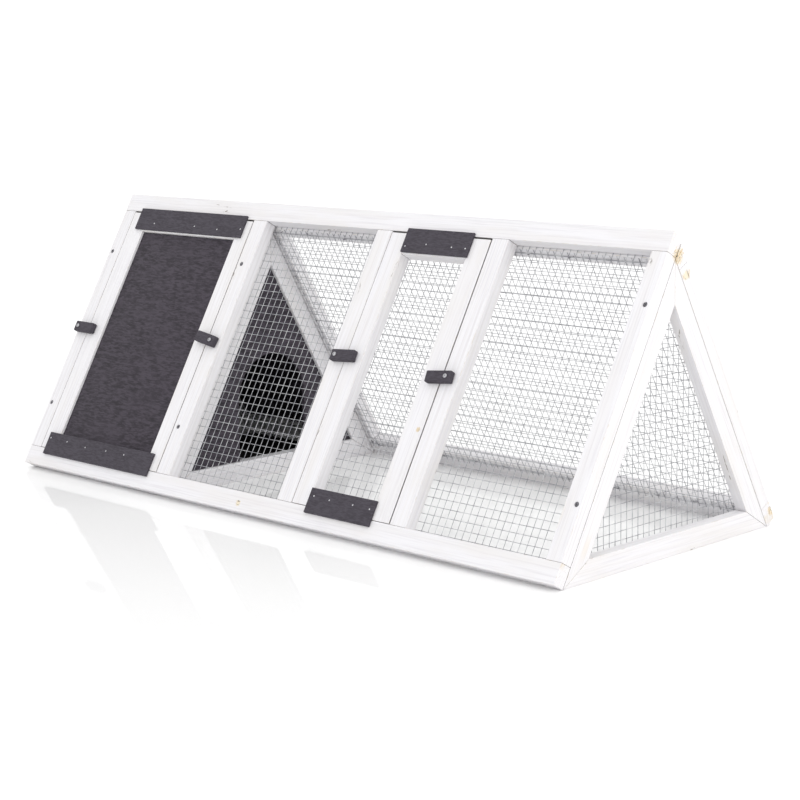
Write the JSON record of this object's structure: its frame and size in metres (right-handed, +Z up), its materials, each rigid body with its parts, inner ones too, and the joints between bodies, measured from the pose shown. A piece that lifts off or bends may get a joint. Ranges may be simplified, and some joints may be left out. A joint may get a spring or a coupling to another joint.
{
  "type": "rabbit hutch",
  "caption": "Triangular wooden rabbit hutch with a closed sleeping room, an arched doorway, a wire run and lift-off doors held by turn buttons.",
  "frame": {"origin": "on the ground under the middle of the hutch", "axes": "+X along the ridge from the sleeping room to the run, +Z up, the side with the doors faces -Y"},
  "size_m": [1.18, 0.509, 0.4543],
  "materials": {
    "white_lath": "satin",
    "dark_board": "matte",
    "wire_mesh": "satin",
    "zinc_screw": "satin",
    "black_screw": "satin"
  },
  "bodies": {
    "hutch_frame": {"front_bottom_rail": "white_lath", "front_top_rail": "white_lath", "front_left_stile": "white_lath", "front_partition_post": "white_lath", "front_door_left_post": "white_lath", "front_door_right_post": "white_lath", "front_right_stile": "white_lath", "back_bottom_rail": "white_lath", "back_top_rail": "white_lath", "back_left_stile": "white_lath", "back_partition_post": "white_lath", "back_right_stile": "white_lath", "left_end_bottom_rail": "white_lath", "left_end_front_rail": "white_lath", "left_end_back_rail": "white_lath", "partition_bottom_rail": "white_lath", "partition_front_rail": "white_lath", "partition_back_rail": "white_lath", "right_end_bottom_rail": "white_lath", "right_end_front_rail": "white_lath", "right_end_back_rail": "white_lath", "left_end_panel": "dark_board", "partition_panel": "dark_board", "back_panel": "dark_board", "front_first_bay_mesh": "wire_mesh", "front_second_bay_mesh": "wire_mesh", "right_end_mesh": "wire_mesh", "back_mesh": "wire_mesh", "sleeping_door_left_button_screw": "zinc_screw", "sleeping_door_right_button_screw": "zinc_screw", "mesh_door_left_button_screw": "zinc_screw", "mesh_door_right_button_screw": "zinc_screw", "front_left_lower_screw": "black_screw", "front_left_upper_screw": "black_screw", "front_partition_lower_screw": "black_screw", "front_partition_upper_screw": "black_screw", "front_right_lower_screw": "black_screw", "front_right_upper_screw": "black_screw"},
    "sleeping_door": {"sleeping_door_left_stile": "white_lath", "sleeping_door_right_stile": "white_lath", "sleeping_door_bottom_rail": "white_lath", "sleeping_door_top_rail": "white_lath", "sleeping_door_panel": "dark_board", "sleeping_door_top_batten": "dark_board", "sleeping_door_bottom_batten": "dark_board"},
    "mesh_door": {"mesh_door_left_stile": "white_lath", "mesh_door_right_stile": "white_lath", "mesh_door_bottom_rail": "white_lath", "mesh_door_top_rail": "white_lath", "mesh_door_mesh": "wire_mesh", "mesh_door_top_batten": "dark_board", "mesh_door_bottom_batten": "dark_board"},
    "sleeping_door_left_button": {"sleeping_door_left_button": "dark_board"},
    "sleeping_door_right_button": {"sleeping_door_right_button": "dark_board"},
    "mesh_door_left_button": {"mesh_door_left_button": "dark_board"},
    "mesh_door_right_button": {"mesh_door_right_button": "dark_board"}
  },
  "joints": [
    {"name": "sleeping_door_lift", "type": "slide", "parent": "hutch_frame", "child": "sleeping_door", "axis": [0, -0.8695, 0.4939], "range_m": [0, 0.3]},
    {"name": "mesh_door_lift", "type": "slide", "parent": "hutch_frame", "child": "mesh_door", "axis": [0, -0.8695, 0.4939], "range_m": [0, 0.3]},
    {"name": "sleeping_door_left_button_turn", "type": "hinge", "parent": "hutch_frame", "child": "sleeping_door_left_button", "pos_m": [-0.5795, -0.12974, 0.22998], "axis": [0, -0.8695, 0.4939], "continuous": true},
    {"name": "sleeping_door_right_button_turn", "type": "hinge", "parent": "hutch_frame", "child": "sleeping_door_right_button", "pos_m": [-0.232, -0.12569, 0.23711], "axis": [0, -0.8695, 0.4939], "continuous": true},
    {"name": "mesh_door_left_button_turn", "type": "hinge", "parent": "hutch_frame", "child": "mesh_door_left_button", "pos_m": [0.0563, -0.12283, 0.24216], "axis": [0, -0.8695, 0.4939], "continuous": true},
    {"name": "mesh_door_right_button_turn", "type": "hinge", "parent": "hutch_frame", "child": "mesh_door_right_button", "pos_m": [0.2889, -0.12732, 0.23424], "axis": [0, -0.8695, 0.4939], "continuous": true}
  ]
}
